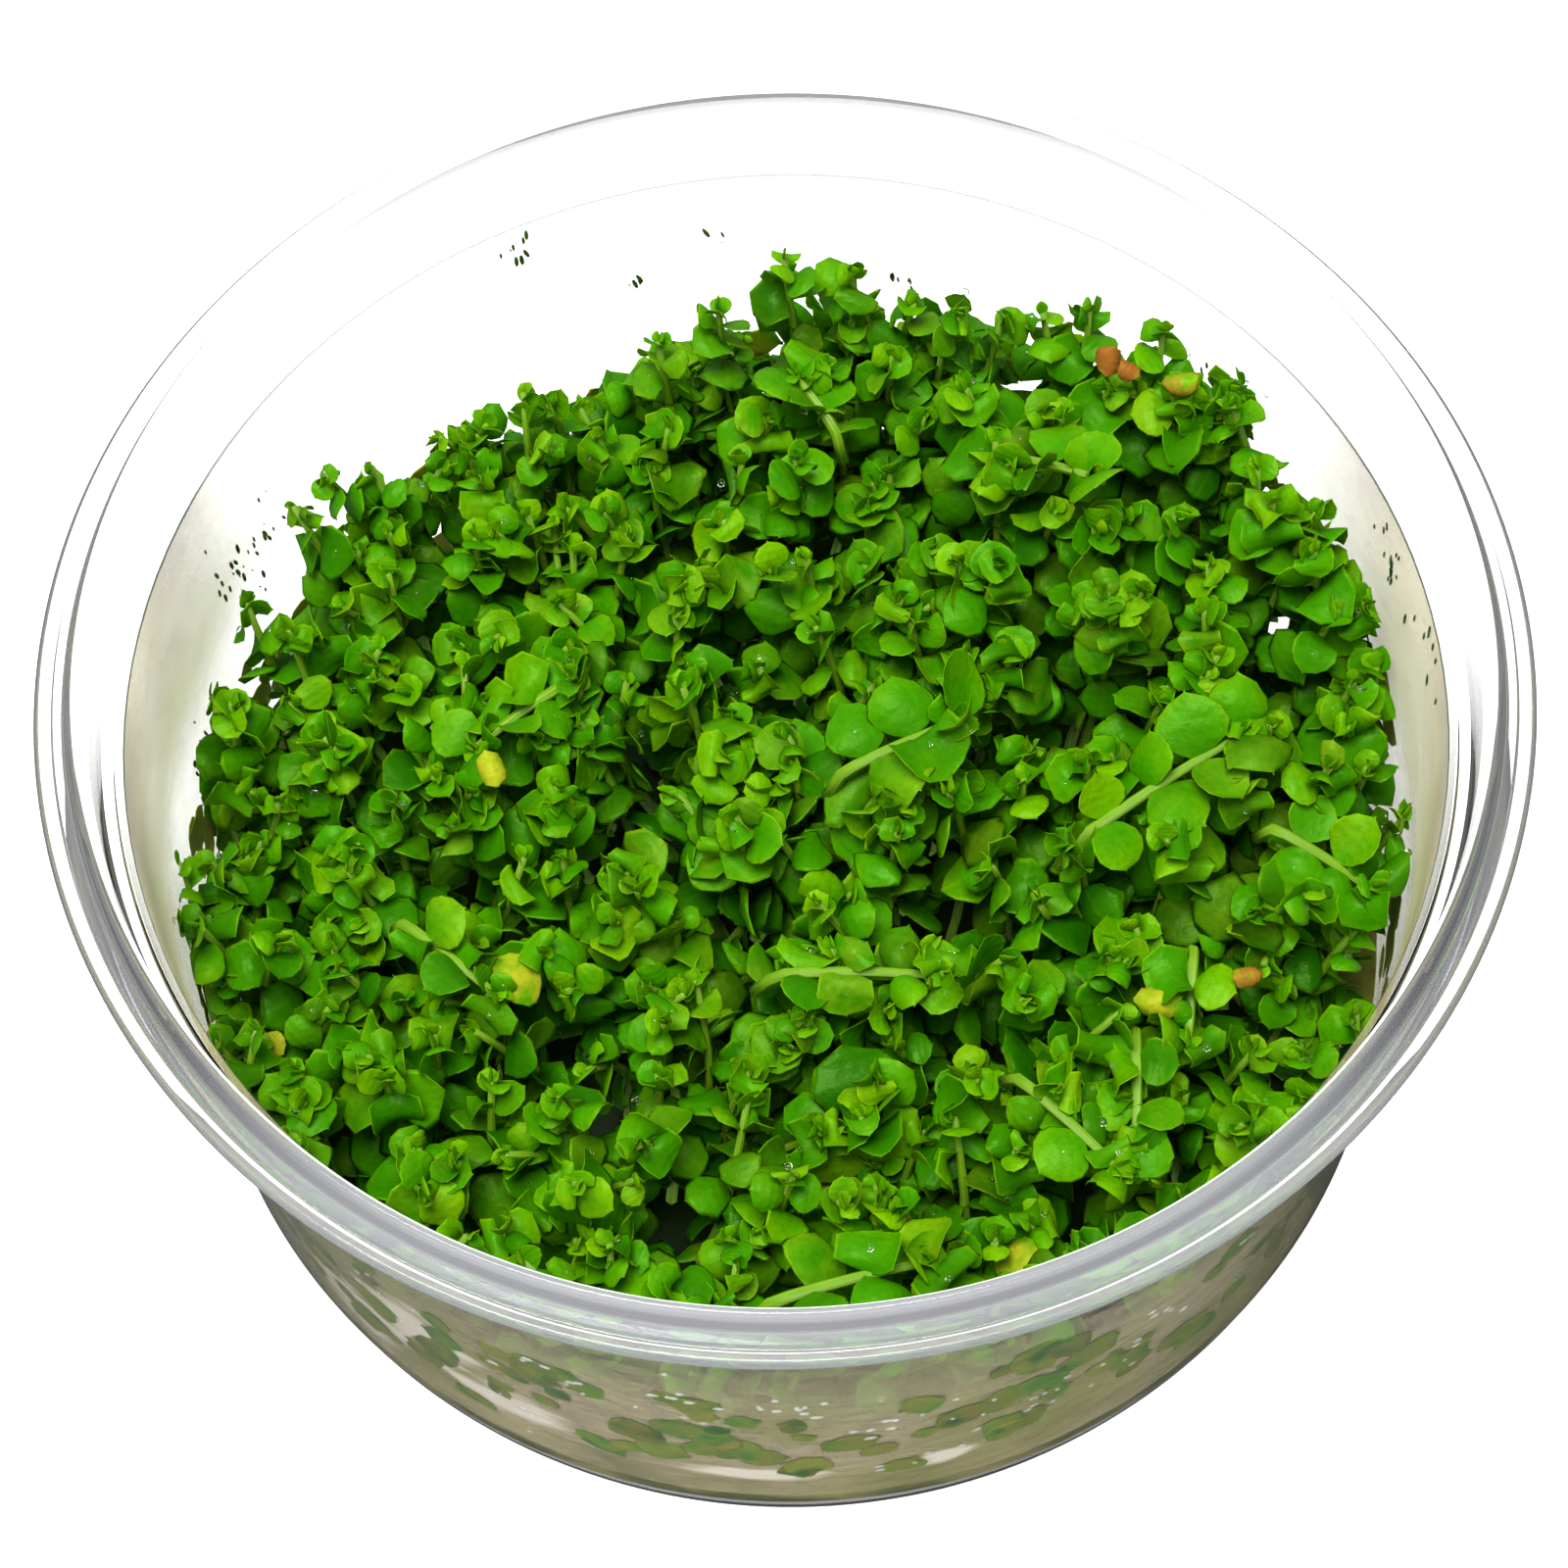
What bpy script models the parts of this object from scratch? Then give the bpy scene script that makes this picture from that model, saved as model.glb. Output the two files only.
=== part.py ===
# Monte Carlo plant growing in its clear culture cup
#
# The cup is one turned, thin-walled, clear moulding with a flat base, a ledge
# inside and a flanged rim. Clear growing gel covers its floor. Forty plantlets
# stand on the gel, packed from wall to wall. Each plantlet is one piece: a stem
# with pairs of round leaves that turn a quarter turn and more at every node,
# and a small pair of young leaves at its tip.
#
# Metres, +Z up. The origin is the middle of the cup's underside, and -Y is
# the side that faces the viewer.

import math
import random

import bmesh
import bpy
from mathutils import Matrix, Vector

MM = 0.001

# Cup
CUP_SIDES = 48
FLANGE_RADIUS = 52.5 * MM
FLANGE_HEIGHT = 50.2 * MM
FLANGE_HALF_THICKNESS = 0.45 * MM
FLANGE_INNER_RADIUS = 50.2 * MM
RIM_HEIGHT = 52.2 * MM
LIP_OUTER_RADIUS = 49.8 * MM
LIP_INNER_RADIUS = 48.9 * MM
LIP_ROUNDING = 0.3 * MM
LEDGE_HEIGHT = 44.3 * MM
LEDGE_WIDTH = 1.1 * MM
LEDGE_DROP = 0.7 * MM
WALL_TOP_RADIUS = 48.2 * MM
WALL_FOOT_RADIUS = 47.6 * MM
WALL_THICKNESS = 0.65 * MM
FLOOR_THICKNESS = 0.9 * MM
CORNER_RADIUS = 6.0 * MM
CORNER_STEPS = 2

# Gel
GEL_SIDES = 24
FIT_GAP = 0.3 * MM
GEL_TOP = 11.0 * MM

# Plantlets: how many stand in the middle and in each ring round it
RING_COUNTS = (1, 6, 13, 20)
RING_PITCH = 13.2 * MM
PLACE_WOBBLE = 0.9 * MM
NEIGHBOUR_GAP = 0.4 * MM
WALL_CLEARANCE = 0.5 * MM

# Stems
NODE_SPACING = 4.0 * MM
NODE_CROWDING = 0.8
NODE_HEIGHT = 0.7 * MM
NODE_TWIST_DEG = 22.5
STEM_WIDTH = 1.3 * MM
STEM_TAPER = 0.35
STEM_LEAN = 0.9 * MM
BUD_WIDTH = 0.4
BUD_HEIGHT = 0.9 * MM

# Leaves
LEAF_LENGTH = 6.6 * MM
LEAF_WIDTH = 5.8 * MM
LEAF_THICKNESS = 0.5 * MM
LEAF_MIDDLE = 0.52
LEAF_TIP_WIDTH = 0.45
LEAF_TILT_DEG = (6, 26)
LEAF_DROOP_DEG = (6, 22)
LEAF_SHORTEST = 0.88
YOUNG_LEAF_SCALE = 0.62
YOUNG_LEAF_LIFT_DEG = 12
SEED = 40

# Height of the leafy top above the table: (x, y, extra height, spread)
CANOPY_BASE = 26.5 * MM
CANOPY_RISES = (
    (32 * MM, 20 * MM, 14 * MM, 23 * MM),
    (2 * MM, 42 * MM, 6 * MM, 9 * MM),
    (-34 * MM, 26 * MM, 3 * MM, 9 * MM),
    (4 * MM, -6 * MM, 2 * MM, 15 * MM),
)

# Colours, roughness and how clear each material is
CLEAR_PLASTIC = ((0.93, 0.95, 0.94), 0.05, 0.95)
CLEAR_GEL = ((0.80, 0.82, 0.62), 0.25, 0.6)
LEAF_GREEN = ((0.13, 0.36, 0.03), 0.4, 0.0)


def clear_scene():
    for item in list(bpy.data.objects):
        bpy.data.objects.remove(item, do_unlink=True)


def plain_material(name, look):
    colour, roughness, clearness = look
    material = bpy.data.materials.new(name)
    material.use_nodes = True
    shader = material.node_tree.nodes["Principled BSDF"]
    shader.inputs["Base Color"].default_value = (*colour, 1)
    shader.inputs["Roughness"].default_value = roughness
    shader.inputs["Metallic"].default_value = 0
    shader.inputs["Transmission Weight"].default_value = clearness
    return material


def add_object(name, bm, material):
    mesh = bpy.data.meshes.new(name)
    bm.to_mesh(mesh)
    bm.free()
    mesh.materials.append(material)
    item = bpy.data.objects.new(name, mesh)
    bpy.context.collection.objects.link(item)
    return item


def arc(centre_r, centre_z, radius, start_deg, end_deg, steps):
    """Points (r, z) on an arc, both ends included."""
    turn = (end_deg - start_deg) / steps
    angles = [math.radians(start_deg + turn * i) for i in range(steps + 1)]
    return [(centre_r + radius * math.cos(a), centre_z + radius * math.sin(a)) for a in angles]


def turned(name, profile, sides, material, smooth_deg=35):
    """Turns an outline that starts and ends on the axis once round it."""
    bm = bmesh.new()
    points = [bm.verts.new((r, 0, z)) for r, z in profile]
    edges = [bm.edges.new(pair) for pair in zip(points, points[1:])]
    bmesh.ops.spin(
        bm,
        geom=points + edges,
        cent=(0, 0, 0),
        axis=(0, 0, 1),
        angle=math.tau,
        steps=sides,
        use_merge=True,
    )
    bmesh.ops.remove_doubles(bm, verts=bm.verts, dist=0.001 * MM)
    bmesh.ops.recalc_face_normals(bm, faces=bm.faces)
    item = add_object(name, bm, material)
    item.data.shade_smooth()
    item.data.set_sharp_from_angle(angle=math.radians(smooth_deg))
    return item


def cup_profile():
    """The cup's section: out along its underside, up outside, over the rim and down inside."""
    corner_r = WALL_FOOT_RADIUS - CORNER_RADIUS
    inner_corner = CORNER_RADIUS - WALL_THICKNESS
    ledge_r = WALL_TOP_RADIUS - WALL_THICKNESS
    low = FLANGE_HEIGHT - FLANGE_HALF_THICKNESS
    high = FLANGE_HEIGHT + FLANGE_HALF_THICKNESS
    collar_r = WALL_TOP_RADIUS + LEDGE_WIDTH
    outside = [(0, 0)]
    outside += arc(corner_r, CORNER_RADIUS, CORNER_RADIUS, -90, 0, CORNER_STEPS)
    outside += [
        (WALL_TOP_RADIUS, LEDGE_HEIGHT - LEDGE_DROP),
        (collar_r, LEDGE_HEIGHT),
        (collar_r, low - FLANGE_HALF_THICKNESS),
    ]
    rim = [
        (FLANGE_RADIUS - FLANGE_HALF_THICKNESS, low),
        (FLANGE_RADIUS, FLANGE_HEIGHT),
        (FLANGE_RADIUS - FLANGE_HALF_THICKNESS, high),
        (FLANGE_INNER_RADIUS, high + FLANGE_HALF_THICKNESS),
        (LIP_OUTER_RADIUS, RIM_HEIGHT - LIP_ROUNDING),
        (LIP_OUTER_RADIUS - LIP_ROUNDING, RIM_HEIGHT),
        (LIP_INNER_RADIUS + LIP_ROUNDING, RIM_HEIGHT),
        (LIP_INNER_RADIUS, RIM_HEIGHT - LIP_ROUNDING),
    ]
    inside = [
        (collar_r - WALL_THICKNESS, LEDGE_HEIGHT + WALL_THICKNESS),
        (ledge_r, LEDGE_HEIGHT),
    ]
    inside += arc(corner_r, CORNER_RADIUS, inner_corner, 0, -90, CORNER_STEPS)[:-1]
    inside += [(corner_r, FLOOR_THICKNESS), (0, FLOOR_THICKNESS)]
    return outside + rim + inside


def wall_inner_radius(z):
    """The cup's inner radius at a height above the bottom corner."""
    share = (z - CORNER_RADIUS) / (LEDGE_HEIGHT - CORNER_RADIUS)
    return WALL_FOOT_RADIUS - WALL_THICKNESS + share * (WALL_TOP_RADIUS - WALL_FOOT_RADIUS)


def gel_profile():
    """The gel's section: it follows the cup's floor and corner a small gap inside them."""
    corner_r = WALL_FOOT_RADIUS - CORNER_RADIUS
    radius = CORNER_RADIUS - WALL_THICKNESS - FIT_GAP
    corner = arc(corner_r, CORNER_RADIUS, radius, -90, 0, CORNER_STEPS)
    floor_z = FLOOR_THICKNESS + FIT_GAP
    corner[0] = (corner_r, floor_z)
    top_r = wall_inner_radius(GEL_TOP) - FIT_GAP
    return [(0, floor_z)] + corner + [(top_r, GEL_TOP), (0, GEL_TOP)]


def canopy_height(x, y):
    """How high the leaves stand at a place: level, with a few taller tufts."""
    height = CANOPY_BASE
    for rise_x, rise_y, extra, spread in CANOPY_RISES:
        away = math.hypot(x - rise_x, y - rise_y) / spread
        height += extra * math.exp(-away * away)
    return height


def plantlet_places(draw):
    """The foot of every plantlet, ring by ring from the middle, each a little off its ring."""
    places = []
    for ring, count in enumerate(RING_COUNTS):
        for i in range(count):
            radius = ring * RING_PITCH - draw.uniform(0, PLACE_WOBBLE) * (ring > 0)
            angle = math.tau * (i + 0.5 * (ring % 2)) / count
            place = Vector((radius, 0, GEL_TOP + FIT_GAP))
            places.append(Matrix.Rotation(angle, 3, "Z") @ place)
    return places


def extrude_face(bm, face, placed):
    """Extrudes a four-sided face, puts its corners at the placed points and returns it."""
    new = bmesh.ops.extrude_discrete_faces(bm, faces=[face])["faces"][0]
    for vert, point in zip(new.verts, placed):
        vert.co = point
    return new


def square_ring(centre, width, turn):
    """Four corners of a level square, turned about its centre."""
    spin = Matrix.Rotation(turn, 3, "Z")
    half = width / 2
    corners = ((-half, -half), (half, -half), (half, half), (-half, half))
    return [centre + spin @ Vector((x, y, 0)) for x, y in corners]


def blade_ring(root, along, side, share, width, thickness, corners):
    """Where a stem face's corners go when it becomes one cross-section of a leaf blade."""
    over = along.normalized().cross(side)
    placed = []
    for corner in corners:
        across = math.copysign(share * width / 2, (corner - root).dot(side))
        up = math.copysign(thickness / 2, (corner - root).z)
        placed.append(root + along + over * up + side * across)
    return placed


def grow_leaf(bm, face, length, tilt, droop):
    """Draws a leaf blade out of one side face of the stem and pinches its tip."""
    corners = [vert.co.copy() for vert in face.verts]
    root = sum(corners, Vector()) / len(corners)
    outward = Vector((face.normal.x, face.normal.y, 0)).normalized()
    side = Vector((0, 0, 1)).cross(outward)
    width = LEAF_WIDTH * length / LEAF_LENGTH

    def away(distance, angle):
        return distance * (outward * math.cos(angle) + Vector((0, 0, math.sin(angle))))

    middle = away(LEAF_MIDDLE * length, tilt)
    end = away(length, tilt - droop)
    ring = blade_ring(root, middle, side, 1, width, LEAF_THICKNESS, corners)
    blade = extrude_face(bm, face, ring)
    ring = blade_ring(root, end, side, LEAF_TIP_WIDTH, width, LEAF_THICKNESS / 4, corners)
    tip = extrude_face(bm, blade, ring)
    lower = [v for v, corner in zip(tip.verts, corners) if corner.z < root.z]
    upper = [v for v, corner in zip(tip.verts, corners) if corner.z > root.z]
    pairs = {v: min(upper, key=lambda other: (other.co - v.co).length) for v in lower}
    bmesh.ops.weld_verts(bm, targetmap=pairs)


def grow_stem(bm, nodes, height, lean, turn):
    """Raises a four-sided stem and returns the side faces that carry leaves, node by node."""
    base = [bm.verts.new(p) for p in square_ring(Vector(), STEM_WIDTH, turn)]
    end = bm.faces.new(base)
    leaf_faces = []
    for node in range(1, nodes + 1):
        share = (node / nodes) ** NODE_CROWDING
        twist = turn + math.radians(NODE_TWIST_DEG * node)
        width = STEM_WIDTH * (1 - STEM_TAPER * share)
        low = lean * share * share + Vector((0, 0, share * height - BUD_HEIGHT - NODE_HEIGHT))
        end = extrude_face(bm, end, square_ring(low, width, twist))
        end = extrude_face(bm, end, square_ring(low + Vector((0, 0, NODE_HEIGHT)), width, twist))
        sides = [next(f for f in edge.link_faces if f is not end) for edge in end.edges]
        leaf_faces += [(node, sides[node % 2]), (node, sides[node % 2 + 2])]
    bud = square_ring(lean + Vector((0, 0, height)), BUD_WIDTH * STEM_WIDTH, twist)
    extrude_face(bm, end, bud)
    bm.faces.new(list(reversed(base)))
    bm.normal_update()
    return leaf_faces


def keep_in_cell(bm, foot, feet):
    """Draws in the corners that reach past halfway to a neighbour, or into the wall."""
    for vert in bm.verts:
        flat = vert.co.xy
        for other in feet:
            apart = (other - foot).xy
            if apart.length == 0:
                continue
            reach = flat.dot(apart.normalized())
            limit = (apart.length - NEIGHBOUR_GAP) / 2
            if reach > limit:
                flat = flat * (limit / reach)
        place = flat + foot.xy
        limit = wall_inner_radius(vert.co.z + foot.z) - WALL_CLEARANCE
        if place.length > limit:
            place = place * (limit / place.length)
        vert.co.xy = place - foot.xy


def plantlet(name, foot, feet, material, draw):
    """One stem with its pairs of leaves, kept inside its own cell of the cup."""
    height = canopy_height(foot.x, foot.y) - foot.z
    nodes = round(height / NODE_SPACING)
    heading = draw.uniform(0, math.tau)
    lean = STEM_LEAN * Vector((math.cos(heading), math.sin(heading), 0))
    bm = bmesh.new()
    for node, face in grow_stem(bm, nodes, height, lean, draw.uniform(0, math.tau)):
        young = node == nodes
        length = LEAF_LENGTH * draw.uniform(LEAF_SHORTEST, 1) * (YOUNG_LEAF_SCALE if young else 1)
        tilt = draw.uniform(*LEAF_TILT_DEG) + (YOUNG_LEAF_LIFT_DEG if young else 0)
        droop = draw.uniform(*LEAF_DROOP_DEG)
        grow_leaf(bm, face, length, math.radians(tilt), math.radians(droop))
    keep_in_cell(bm, foot, feet)
    bmesh.ops.translate(bm, verts=bm.verts, vec=foot)
    return add_object(name, bm, material)


def build():
    clear_scene()
    turned("cup", cup_profile(), CUP_SIDES, plain_material("clear plastic", CLEAR_PLASTIC))
    turned("gel", gel_profile(), GEL_SIDES, plain_material("growing gel", CLEAR_GEL))
    green = plain_material("leaf green", LEAF_GREEN)
    draw = random.Random(SEED)
    feet = plantlet_places(draw)
    for number, foot in enumerate(feet, start=1):
        plantlet(f"plantlet_{number:02d}", foot, feet, green, draw)


build()
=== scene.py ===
# %% [markdown]
# # A creeping water plant in its clear culture cup
#
# The real object is a shallow clear cup, 105 mm across its rim. On its floor lies a bed of
# growing gel, and on the gel grows a dense mat of small round leaves. The frame already holds
# plain solids of the right size: one cup, one gel bed and forty plantlets. This script dresses
# each of them with a finer piece of the same size and place. The frame is loaded first, because
# every size below is read from it or set against it.

# %% Load the frame
import math

import bpy
import numpy as np
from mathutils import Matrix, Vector


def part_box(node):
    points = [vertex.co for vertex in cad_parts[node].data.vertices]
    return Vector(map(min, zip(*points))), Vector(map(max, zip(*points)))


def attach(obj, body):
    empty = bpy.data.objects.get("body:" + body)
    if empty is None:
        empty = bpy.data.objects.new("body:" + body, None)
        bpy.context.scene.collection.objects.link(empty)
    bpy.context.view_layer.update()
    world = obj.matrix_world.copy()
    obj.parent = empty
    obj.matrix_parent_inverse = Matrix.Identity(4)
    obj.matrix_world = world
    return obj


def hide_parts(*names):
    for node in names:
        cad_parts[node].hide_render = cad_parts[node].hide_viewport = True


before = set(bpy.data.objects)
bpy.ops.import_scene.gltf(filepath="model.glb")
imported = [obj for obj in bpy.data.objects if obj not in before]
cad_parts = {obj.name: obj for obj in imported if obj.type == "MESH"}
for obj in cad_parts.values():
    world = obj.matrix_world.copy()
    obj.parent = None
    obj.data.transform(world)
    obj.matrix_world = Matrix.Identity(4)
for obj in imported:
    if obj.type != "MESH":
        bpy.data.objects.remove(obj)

MM = 0.001
cup_low, cup_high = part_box("cup")
gel_low, gel_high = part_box("gel")
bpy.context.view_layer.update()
flange_radius = cup_high.x / MM
rim_height = cup_high.z / MM
gel_top = gel_high.z / MM
plantlets = sorted(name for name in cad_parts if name.startswith("plantlet_"))
print(f"flange {2 * flange_radius:.1f} mm across, rim {rim_height:.1f} mm high, {len(plantlets)} plantlets")

# %% [markdown]
# ## Shader sums
#
# A shader's numbers come from nodes joined by links, which take many lines to write out. The
# class below wraps one output socket, so that an expression such as `1 - haze * 0.5` adds the
# Math nodes by itself. Colours and vectors go through Vector Math and Mix, because a Math node
# would turn a colour grey. Every other node comes from the one method `node`.

# %% A socket that can be used in sums


def find(sockets, key):
    """The socket in use with this place, name or identifier."""
    used = [socket for socket in sockets if socket.enabled]
    if isinstance(key, int):
        return used[key]
    return next(socket for socket in used if key in (socket.name, socket.identifier))


class Shade:
    """One output of a shader tree, or the empty tree itself while socket is None."""

    def __init__(self, tree, socket=None):
        self.tree = tree
        self.socket = socket

    def node(self, kind, settings=None, values=None, output=0):
        """Adds a node, sets it, fills its sockets with numbers or links, and returns one output."""
        made = self.tree.nodes.new("ShaderNode" + kind)
        for name, value in (settings or {}).items():
            if name == "stops":
                set_stops(made.color_ramp, value)
            else:
                setattr(made, name, value)
        for key, value in (values or {}).items():
            entry = find(made.inputs, key)
            if isinstance(value, Shade):
                self.tree.links.new(value.socket, entry)
            elif entry.type in ("VECTOR", "RGBA") and isinstance(value, (int, float)):
                entry.default_value = (value,) * len(entry.default_value)
            else:
                entry.default_value = value
        outlet = find(made.outputs, output) if len(made.outputs) else None
        return Shade(self.tree, outlet)

    def sum(self, operation, first, second):
        """Math for numbers, Vector Math as soon as one side is a colour or a vector."""
        wide = [v for v in (first, second) if isinstance(v, Shade) and v.socket.type in ("VECTOR", "RGBA")]
        kind = "VectorMath" if wide else "Math"
        return self.node(kind, {"operation": operation}, {0: first, 1: second})

    def __add__(self, other):
        return self.sum("ADD", self, other)

    def __radd__(self, other):
        return self.sum("ADD", other, self)

    def __sub__(self, other):
        return self.sum("SUBTRACT", self, other)

    def __rsub__(self, other):
        return self.sum("SUBTRACT", other, self)

    def __mul__(self, other):
        return self.sum("MULTIPLY", self, other)

    def __rmul__(self, other):
        return self.sum("MULTIPLY", other, self)

    def __truediv__(self, other):
        return self.sum("DIVIDE", self, other)

    def __rtruediv__(self, other):
        return self.sum("DIVIDE", other, self)

    def __pow__(self, other):
        return self.sum("POWER", self, other)


def set_stops(ramp, stops):
    """Sets a ramp's stops from (place, colour) pairs, first to last."""
    while len(ramp.elements) < len(stops):
        ramp.elements.new(1.0)
    for element, (place, colour) in zip(ramp.elements, stops):
        element.position = place
        element.color = colour


def srgb(red, green, blue):
    """A colour as screens give it, 0 to 255, turned into the linear colour that shaders use."""
    levels = [channel / 255 for channel in (red, green, blue)]
    linear = [v / 12.92 if v <= 0.04045 else ((v + 0.055) / 1.055) ** 2.4 for v in levels]
    return (*linear, 1.0)


def step(graph, value, low, high):
    """0 below low, 1 above high, and a soft S between them."""
    limits = {"Value": value, "From Min": low, "From Max": high}
    return graph.node("MapRange", {"interpolation_type": "SMOOTHSTEP"}, limits)


def mixed(graph, factor, first, second):
    """The first colour where factor is 0 and the second where it is 1."""
    values = {"Factor": factor, "A": first, "B": second}
    return graph.node("Mix", {"data_type": "RGBA"}, values, "Result")


def noise(graph, place, scale, detail=2.0, output="Fac"):
    """Soft random patches, about 1 / scale of a metre wide."""
    values = {"Vector": place, "Scale": scale, "Detail": detail}
    return graph.node("TexNoise", None, values, output)


print("mid green in linear light:", [round(channel, 3) for channel in srgb(90, 165, 0)])

# %% [markdown]
# ## Materials in general
#
# Every finish here starts from the Principled shader. A small helper makes the material, lets
# the finish write its own sums, and joins the result to the output.

# %% A material from one function


def new_material(name, finish):
    """Makes a material. finish(graph) returns the shader that reaches the surface."""
    material = bpy.data.materials.new(name)
    material.use_nodes = True
    material.node_tree.nodes.clear()
    graph = Shade(material.node_tree)
    graph.node("OutputMaterial", None, {"Surface": finish(graph)})
    return material


def lets_lamps_through(graph, shader):
    """Clear things would cast black shadows, so rays from lamps and soft bounces pass straight on."""
    for ray in ("Is Shadow Ray", "Is Diffuse Ray"):
        path = graph.node("LightPath", output=ray)
        through = graph.node("BsdfTransparent")
        shader = graph.node("MixShader", None, {0: path, 1: shader, 2: through})
    return shader


# %% [markdown]
# ## Leaf green
#
# The leaves are a saturated yellow-green with a satin skin. Each has a faint midrib and a paler
# rim, which is partly the margin's own colour and partly painted glow of light through the thin
# edge. Each leaf is painted darker towards its base as shade and lighter towards its rim, and
# leaves differ from one another. The mesh carries two values for each point: `leaf_place` says
# how far along, how near the rim and on which side the point is, and the tint value says how
# bright, how yellow and how brown the whole leaf is; its brightness is partly random and partly
# painted shade, darker for leaves low on a stem. Painting by these values puts the rim and midrib
# on every leaf without unwrapping thousands of them. Light also shines through a thin leaf, so a
# Translucent shader takes a share.

# %% The leaf finish
LEAF_DARK = srgb(32, 98, 0)
LEAF_MID = srgb(66, 148, 0)
LEAF_BRIGHT = srgb(118, 180, 0)
LEAF_RIM = srgb(126, 188, 10)
LEAF_YELLOW = srgb(196, 190, 40)
LEAF_BROWN = srgb(168, 96, 40)
LEAF_GLOW = srgb(120, 176, 0)
THROUGH_SHARE = 0.22
LEAF_ROUGHNESS = 0.4
SHEEN = srgb(190, 255, 120)


def leaf_finish(graph):
    place = graph.node("Attribute", {"attribute_name": "leaf_place"}, output="Vector")
    along, rim, under = (graph.node("SeparateXYZ", None, {0: place}, axis) for axis in "XYZ")
    look = graph.node("Attribute", {"attribute_name": "leaf_tint"}, output="Vector")
    bright, yellow, brown = (graph.node("SeparateXYZ", None, {0: look}, axis) for axis in "XYZ")
    where = graph.node("TexCoord", output="Object")
    patches = noise(graph, where, 420.0, 2.0)
    mottle = noise(graph, where, 2200.0, 2.0)
    edge = rim + step(graph, along, 0.86, 1.0) * (1 - rim)
    # Painted shade and light: brightness is partly random and partly darker for leaves low on a stem, and each leaf
    # is darker towards its base and lighter towards its rim.
    level = bright + (patches - 0.5) * 0.35 + along * 0.3 + rim * 0.16 - 0.26
    colour = graph.node("ValToRGB", {"stops": [(0.0, LEAF_DARK), (0.5, LEAF_MID), (1.0, LEAF_BRIGHT)]}, {0: level})
    rib = (1 - step(graph, rim, 0.02, 0.14)) * 0.08
    colour = mixed(graph, rib, colour, LEAF_RIM)
    # The pale edge line is partly the margin's own colour and partly painted glow of light through the thin edge.
    colour = mixed(graph, step(graph, edge, 0.86, 1.0) * 0.65, colour, LEAF_RIM)
    colour = mixed(graph, under * 0.25, colour, LEAF_RIM)
    colour = mixed(graph, yellow * step(graph, patches, 0.25, 0.6), colour, LEAF_YELLOW)
    colour = mixed(graph, brown * step(graph, patches, 0.35, 0.6), colour, LEAF_BROWN)
    colour = mixed(graph, step(graph, mottle, 0.45, 0.7) * 0.22, colour, LEAF_DARK)
    veins = graph.node("TexWave", {"bands_direction": "X"}, {"Vector": place, "Scale": 1.6, "Distortion": 1.0})
    skin = mottle * 0.35 + veins * 0.08 + patches * 1.2
    bump = graph.node("Bump", None, {"Strength": 0.6, "Distance": 0.0003, "Height": skin})
    roughness = LEAF_ROUGHNESS + (patches - 0.5) * 0.25
    flesh = graph.node(
        "BsdfPrincipled",
        None,
        {"Base Color": colour, "Roughness": roughness, "Normal": bump, "Specular IOR Level": 0.3, "Specular Tint": SHEEN},
    )
    glow = graph.node("BsdfTranslucent", None, {"Color": LEAF_GLOW})
    return graph.node("MixShader", None, {0: THROUGH_SHARE, 1: flesh, 2: glow})


leaf_green = new_material("leaf_green", leaf_finish)
print("nodes in the leaf finish:", len(leaf_green.node_tree.nodes))

# %% [markdown]
# ## Stem green
#
# Stems and runners are paler and yellower than the leaves, with fine ribs along them. The ribs
# are bands across the stem's own width, so they follow it round each bend.

# %% The stem finish
STEM_LIGHT = srgb(140, 182, 30)
STEM_DARK = srgb(84, 138, 8)
STEM_DEEP = srgb(52, 66, 14)


def stem_finish(graph):
    place = graph.node("Attribute", {"attribute_name": "leaf_place"}, output="Vector")
    around = graph.node("SeparateXYZ", None, {0: place}, "Y")
    look = graph.node("Attribute", {"attribute_name": "leaf_tint"}, output="Vector")
    bright = graph.node("SeparateXYZ", None, {0: look}, "X")
    where = graph.node("TexCoord", output="Object")
    patches = noise(graph, where, 500.0, 3.0)
    ribs = graph.node("Math", {"operation": "SINE"}, {0: around * (6 * 2 * math.pi)}) * 0.5 + 0.5
    colour = mixed(graph, ribs * 0.4 + patches * 0.5, STEM_DARK, STEM_LIGHT)
    colour = mixed(graph, bright, STEM_DEEP, colour)
    bump = graph.node("Bump", None, {"Strength": 0.4, "Distance": 0.0001, "Height": ribs})
    values = {"Base Color": colour, "Roughness": 0.35 + patches * 0.2, "Normal": bump}
    return graph.node("BsdfPrincipled", None, values)


stem_green = new_material("stem_green", stem_finish)

# %% [markdown]
# ## Clear plastic
#
# The cup is clear moulded plastic. Full transmission with the plastic's IOR bends what is seen
# through it and gives the rim its fine grey lines, which are the dark parts of the room seen
# through curved edges. A faint waviness in the skin breaks the reflections. The rim is thicker
# than the wall and looks slightly cloudy. A little white haze is mixed in above the ledge, most
# of it at the front, where the rim lies over the dark leaves; it is partly that cloudiness and
# partly a painted reflection of the bright room on the flange and lip.

# %% The cup's finish
PLASTIC_IOR = 1.4
PLASTIC_TINT = srgb(250, 250, 253)
# The white haze is partly the thick rim's cloudiness and partly painted reflection of the room, strongest at the
# front and on the lip.
HAZE_AND_REFLECTION_WHITE = srgb(232, 232, 240)
SIDE_HAZE_AND_REFLECTION, FRONT_HAZE_AND_REFLECTION = 0.03, 0.01
LIP_SIDE_HAZE_AND_REFLECTION, LIP_FRONT_HAZE_AND_REFLECTION = 0.05, 0.17
HAZE_AND_REFLECTION_FROM, HAZE_AND_REFLECTION_FULL = rim_height - 8.1, rim_height - 7.2
LIP_HAZE_AND_REFLECTION_FROM, LIP_HAZE_AND_REFLECTION_FULL = rim_height - 2.4, rim_height - 1.2


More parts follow.
